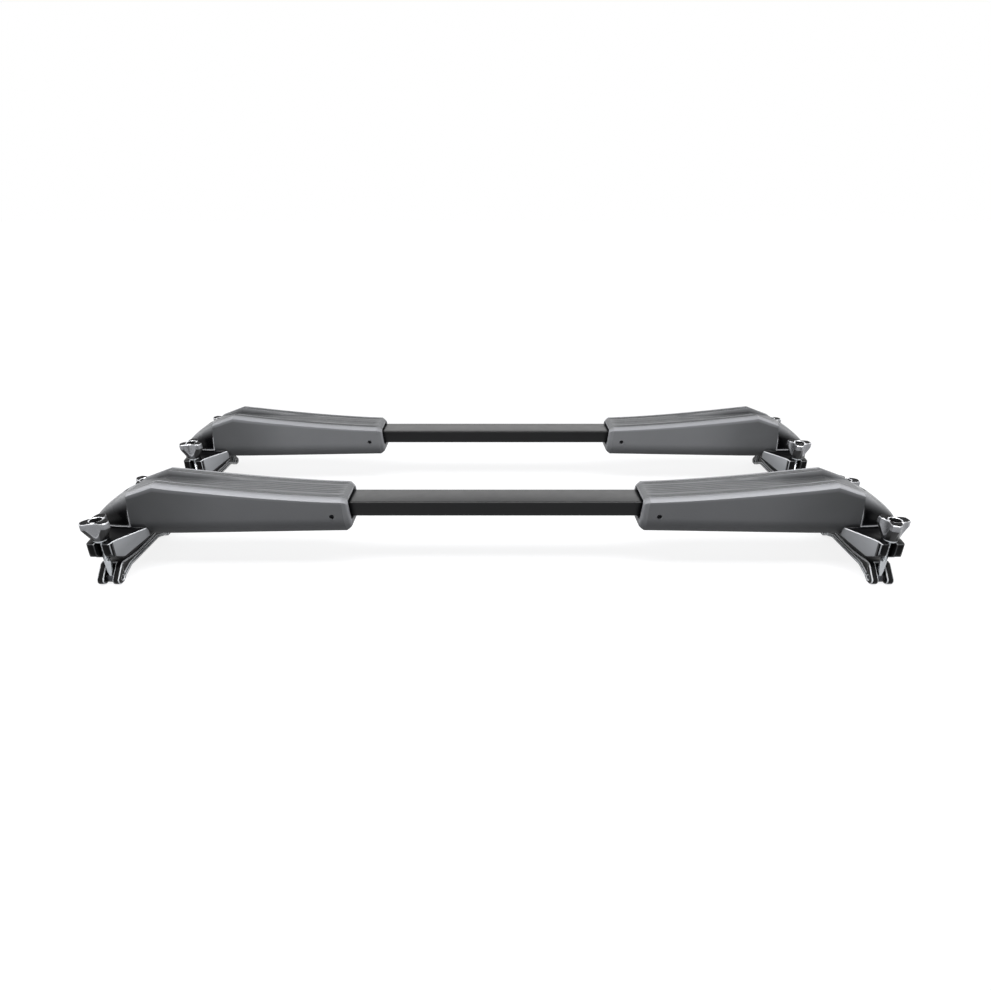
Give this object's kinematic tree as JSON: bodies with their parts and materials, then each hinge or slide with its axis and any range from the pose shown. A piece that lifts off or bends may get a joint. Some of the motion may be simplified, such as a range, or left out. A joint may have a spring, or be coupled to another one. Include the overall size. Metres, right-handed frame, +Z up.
{
  "type": "surfboard roof carrier",
  "caption": "Pair of roof rack cross units with sliding padded arms and screw clamps, on which a surfboard is carried on a car's crossbars.",
  "frame": {"origin": "middle of the carrier's footprint, at the level of the lower jaws' feet", "axes": "+X along the bars to the right as seen from the front unit, +Y from the front unit to the rear unit, +Z up"},
  "size_m": [1.0268, 0.4232, 0.1192],
  "materials": {
    "bar_paint": "satin black powder coat on an aluminium tube",
    "plug_plastic": "moulded black plastic",
    "arm_steel": "satin black powder coat",
    "pad_foam": "moulded grey closed-cell foam, faintly pebbled",
    "hood_plastic": "glossy black",
    "jaw_plastic": "satin black moulding",
    "saddle_rubber": "matt black",
    "lower_jaw_plastic": "satin black moulding",
    "pin_steel": "dark plated",
    "bolt_steel": "bright zinc plated, threaded",
    "washer_steel": "zinc plated",
    "knob_plastic": "glossy black moulding with bright edges",
    "screw_steel": "black oxide"
  },
  "bodies": {
    "centre_bars": {"front_centre_bar": "bar_paint", "front_bar_plugs": "plug_plastic", "rear_centre_bar": "bar_paint", "rear_bar_plugs": "plug_plastic"},
    "front_left_arm": {"front_left_arm_tube": "arm_steel", "front_left_pad": "pad_foam", "front_left_hood": "hood_plastic", "front_left_upper_jaw": "jaw_plastic", "front_left_saddle": "saddle_rubber", "front_left_arm_screws": "screw_steel"},
    "front_left_jaw": {"front_left_lower_jaw": "lower_jaw_plastic", "front_left_jaw_pins": "pin_steel"},
    "front_left_bolt_fore": {"front_left_bolt_fore": "bolt_steel"},
    "front_left_washer_fore": {"front_left_washer_fore": "washer_steel"},
    "front_left_knob_fore": {"front_left_knob_fore": "knob_plastic"},
    "front_left_bolt_aft": {"front_left_bolt_aft": "bolt_steel"},
    "front_left_washer_aft": {"front_left_washer_aft": "washer_steel"},
    "front_left_knob_aft": {"front_left_knob_aft": "knob_plastic"},
    "front_right_arm": {"front_right_arm_tube": "arm_steel", "front_right_pad": "pad_foam", "front_right_hood": "hood_plastic", "front_right_upper_jaw": "jaw_plastic", "front_right_saddle": "saddle_rubber", "front_right_arm_screws": "screw_steel"},
    "front_right_jaw": {"front_right_lower_jaw": "lower_jaw_plastic", "front_right_jaw_pins": "pin_steel"},
    "front_right_bolt_fore": {"front_right_bolt_fore": "bolt_steel"},
    "front_right_washer_fore": {"front_right_washer_fore": "washer_steel"},
    "front_right_knob_fore": {"front_right_knob_fore": "knob_plastic"},
    "front_right_bolt_aft": {"front_right_bolt_aft": "bolt_steel"},
    "front_right_washer_aft": {"front_right_washer_aft": "washer_steel"},
    "front_right_knob_aft": {"front_right_knob_aft": "knob_plastic"},
    "rear_left_arm": {"rear_left_arm_tube": "arm_steel", "rear_left_pad": "pad_foam", "rear_left_hood": "hood_plastic", "rear_left_upper_jaw": "jaw_plastic", "rear_left_saddle": "saddle_rubber", "rear_left_arm_screws": "screw_steel"},
    "rear_left_jaw": {"rear_left_lower_jaw": "lower_jaw_plastic", "rear_left_jaw_pins": "pin_steel"},
    "rear_left_bolt_fore": {"rear_left_bolt_fore": "bolt_steel"},
    "rear_left_washer_fore": {"rear_left_washer_fore": "washer_steel"},
    "rear_left_knob_fore": {"rear_left_knob_fore": "knob_plastic"},
    "rear_left_bolt_aft": {"rear_left_bolt_aft": "bolt_steel"},
    "rear_left_washer_aft": {"rear_left_washer_aft": "washer_steel"},
    "rear_left_knob_aft": {"rear_left_knob_aft": "knob_plastic"},
    "rear_right_arm": {"rear_right_arm_tube": "arm_steel", "rear_right_pad": "pad_foam", "rear_right_hood": "hood_plastic", "rear_right_upper_jaw": "jaw_plastic", "rear_right_saddle": "saddle_rubber", "rear_right_arm_screws": "screw_steel"},
    "rear_right_jaw": {"rear_right_lower_jaw": "lower_jaw_plastic", "rear_right_jaw_pins": "pin_steel"},
    "rear_right_bolt_fore": {"rear_right_bolt_fore": "bolt_steel"},
    "rear_right_washer_fore": {"rear_right_washer_fore": "washer_steel"},
    "rear_right_knob_fore": {"rear_right_knob_fore": "knob_plastic"},
    "rear_right_bolt_aft": {"rear_right_bolt_aft": "bolt_steel"},
    "rear_right_washer_aft": {"rear_right_washer_aft": "washer_steel"},
    "rear_right_knob_aft": {"rear_right_knob_aft": "knob_plastic"}
  },
  "joints": [
    {"name": "front_left_arm_slide", "type": "slide", "parent": "centre_bars", "child": "front_left_arm", "axis": [-1, 0, 0], "range_m": [-0.11, 0.03]},
    {"name": "front_left_jaw_lift", "type": "slide", "parent": "front_left_arm", "child": "front_left_jaw", "axis": [0, 0, 1], "range_m": [-0.009, 0.007]},
    {"name": "front_left_bolt_fore_swing", "type": "hinge", "parent": "front_left_jaw", "child": "front_left_bolt_fore", "pos_m": [-0.479, -0.19425, 0.006], "axis": [1, 0, 0], "range_deg": [0, 75]},
    {"name": "front_left_washer_fore_slide", "type": "slide", "parent": "front_left_bolt_fore", "child": "front_left_washer_fore", "axis": [0, 0, 1], "range_m": [-0.007, 0.009]},
    {"name": "front_left_knob_fore_turn", "type": "hinge", "parent": "front_left_washer_fore", "child": "front_left_knob_fore", "pos_m": [-0.479, -0.19425, 0.0618], "axis": [0, 0, 1], "range_deg": [-2020, 2600]},
    {"name": "front_left_bolt_aft_swing", "type": "hinge", "parent": "front_left_jaw", "child": "front_left_bolt_aft", "pos_m": [-0.479, -0.07325, 0.006], "axis": [1, 0, 0], "range_deg": [-75, 0]},
    {"name": "front_left_washer_aft_slide", "type": "slide", "parent": "front_left_bolt_aft", "child": "front_left_washer_aft", "axis": [0, 0, 1], "range_m": [-0.007, 0.009]},
    {"name": "front_left_knob_aft_turn", "type": "hinge", "parent": "front_left_washer_aft", "child": "front_left_knob_aft", "pos_m": [-0.479, -0.07325, 0.0618], "axis": [0, 0, 1], "range_deg": [-2020, 2600]},
    {"name": "front_right_arm_slide", "type": "slide", "parent": "centre_bars", "child": "front_right_arm", "axis": [1, 0, 0], "range_m": [-0.11, 0.03]},
    {"name": "front_right_jaw_lift", "type": "slide", "parent": "front_right_arm", "child": "front_right_jaw", "axis": [0, 0, 1], "range_m": [-0.009, 0.007]},
    {"name": "front_right_bolt_fore_swing", "type": "hinge", "parent": "front_right_jaw", "child": "front_right_bolt_fore", "pos_m": [0.479, -0.19425, 0.006], "axis": [1, 0, 0], "range_deg": [0, 75]},
    {"name": "front_right_washer_fore_slide", "type": "slide", "parent": "front_right_bolt_fore", "child": "front_right_washer_fore", "axis": [0, 0, 1], "range_m": [-0.007, 0.009]},
    {"name": "front_right_knob_fore_turn", "type": "hinge", "parent": "front_right_washer_fore", "child": "front_right_knob_fore", "pos_m": [0.479, -0.19425, 0.0618], "axis": [0, 0, 1], "range_deg": [-2020, 2600]},
    {"name": "front_right_bolt_aft_swing", "type": "hinge", "parent": "front_right_jaw", "child": "front_right_bolt_aft", "pos_m": [0.479, -0.07325, 0.006], "axis": [1, 0, 0], "range_deg": [-75, 0]},
    {"name": "front_right_washer_aft_slide", "type": "slide", "parent": "front_right_bolt_aft", "child": "front_right_washer_aft", "axis": [0, 0, 1], "range_m": [-0.007, 0.009]},
    {"name": "front_right_knob_aft_turn", "type": "hinge", "parent": "front_right_washer_aft", "child": "front_right_knob_aft", "pos_m": [0.479, -0.07325, 0.0618], "axis": [0, 0, 1], "range_deg": [-2020, 2600]},
    {"name": "rear_left_arm_slide", "type": "slide", "parent": "centre_bars", "child": "rear_left_arm", "axis": [-1, 0, 0], "range_m": [-0.11, 0.03]},
    {"name": "rear_left_jaw_lift", "type": "slide", "parent": "rear_left_arm", "child": "rear_left_jaw", "axis": [0, 0, 1], "range_m": [-0.009, 0.007]},
    {"name": "rear_left_bolt_fore_swing", "type": "hinge", "parent": "rear_left_jaw", "child": "rear_left_bolt_fore", "pos_m": [-0.479, 0.07325, 0.006], "axis": [1, 0, 0], "range_deg": [0, 75]},
    {"name": "rear_left_washer_fore_slide", "type": "slide", "parent": "rear_left_bolt_fore", "child": "rear_left_washer_fore", "axis": [0, 0, 1], "range_m": [-0.007, 0.009]},
    {"name": "rear_left_knob_fore_turn", "type": "hinge", "parent": "rear_left_washer_fore", "child": "rear_left_knob_fore", "pos_m": [-0.479, 0.07325, 0.0618], "axis": [0, 0, 1], "range_deg": [-2020, 2600]},
    {"name": "rear_left_bolt_aft_swing", "type": "hinge", "parent": "rear_left_jaw", "child": "rear_left_bolt_aft", "pos_m": [-0.479, 0.19425, 0.006], "axis": [1, 0, 0], "range_deg": [-75, 0]},
    {"name": "rear_left_washer_aft_slide", "type": "slide", "parent": "rear_left_bolt_aft", "child": "rear_left_washer_aft", "axis": [0, 0, 1], "range_m": [-0.007, 0.009]},
    {"name": "rear_left_knob_aft_turn", "type": "hinge", "parent": "rear_left_washer_aft", "child": "rear_left_knob_aft", "pos_m": [-0.479, 0.19425, 0.0618], "axis": [0, 0, 1], "range_deg": [-2020, 2600]},
    {"name": "rear_right_arm_slide", "type": "slide", "parent": "centre_bars", "child": "rear_right_arm", "axis": [1, 0, 0], "range_m": [-0.11, 0.03]},
    {"name": "rear_right_jaw_lift", "type": "slide", "parent": "rear_right_arm", "child": "rear_right_jaw", "axis": [0, 0, 1], "range_m": [-0.009, 0.007]},
    {"name": "rear_right_bolt_fore_swing", "type": "hinge", "parent": "rear_right_jaw", "child": "rear_right_bolt_fore", "pos_m": [0.479, 0.07325, 0.006], "axis": [1, 0, 0], "range_deg": [0, 75]},
    {"name": "rear_right_washer_fore_slide", "type": "slide", "parent": "rear_right_bolt_fore", "child": "rear_right_washer_fore", "axis": [0, 0, 1], "range_m": [-0.007, 0.009]},
    {"name": "rear_right_knob_fore_turn", "type": "hinge", "parent": "rear_right_washer_fore", "child": "rear_right_knob_fore", "pos_m": [0.479, 0.07325, 0.0618], "axis": [0, 0, 1], "range_deg": [-2020, 2600]},
    {"name": "rear_right_bolt_aft_swing", "type": "hinge", "parent": "rear_right_jaw", "child": "rear_right_bolt_aft", "pos_m": [0.479, 0.19425, 0.006], "axis": [1, 0, 0], "range_deg": [-75, 0]},
    {"name": "rear_right_washer_aft_slide", "type": "slide", "parent": "rear_right_bolt_aft", "child": "rear_right_washer_aft", "axis": [0, 0, 1], "range_m": [-0.007, 0.009]},
    {"name": "rear_right_knob_aft_turn", "type": "hinge", "parent": "rear_right_washer_aft", "child": "rear_right_knob_aft", "pos_m": [0.479, 0.19425, 0.0618], "axis": [0, 0, 1], "range_deg": [-2020, 2600]}
  ],
  "couplings": [
    {"joint": "front_left_washer_fore_slide", "follows": "front_left_jaw_lift", "ratio": -1},
    {"joint": "front_left_knob_fore_turn", "follows": "front_left_jaw_lift", "rad_per_m": -5026.5},
    {"joint": "front_left_washer_aft_slide", "follows": "front_left_jaw_lift", "ratio": -1},
    {"joint": "front_left_knob_aft_turn", "follows": "front_left_jaw_lift", "rad_per_m": -5026.5},
    {"joint": "front_right_washer_fore_slide", "follows": "front_right_jaw_lift", "ratio": -1},
    {"joint": "front_right_knob_fore_turn", "follows": "front_right_jaw_lift", "rad_per_m": -5026.5},
    {"joint": "front_right_washer_aft_slide", "follows": "front_right_jaw_lift", "ratio": -1},
    {"joint": "front_right_knob_aft_turn", "follows": "front_right_jaw_lift", "rad_per_m": -5026.5},
    {"joint": "rear_left_washer_fore_slide", "follows": "rear_left_jaw_lift", "ratio": -1},
    {"joint": "rear_left_knob_fore_turn", "follows": "rear_left_jaw_lift", "rad_per_m": -5026.5},
    {"joint": "rear_left_washer_aft_slide", "follows": "rear_left_jaw_lift", "ratio": -1},
    {"joint": "rear_left_knob_aft_turn", "follows": "rear_left_jaw_lift", "rad_per_m": -5026.5},
    {"joint": "rear_right_washer_fore_slide", "follows": "rear_right_jaw_lift", "ratio": -1},
    {"joint": "rear_right_knob_fore_turn", "follows": "rear_right_jaw_lift", "rad_per_m": -5026.5},
    {"joint": "rear_right_washer_aft_slide", "follows": "rear_right_jaw_lift", "ratio": -1},
    {"joint": "rear_right_knob_aft_turn", "follows": "rear_right_jaw_lift", "rad_per_m": -5026.5}
  ]
}
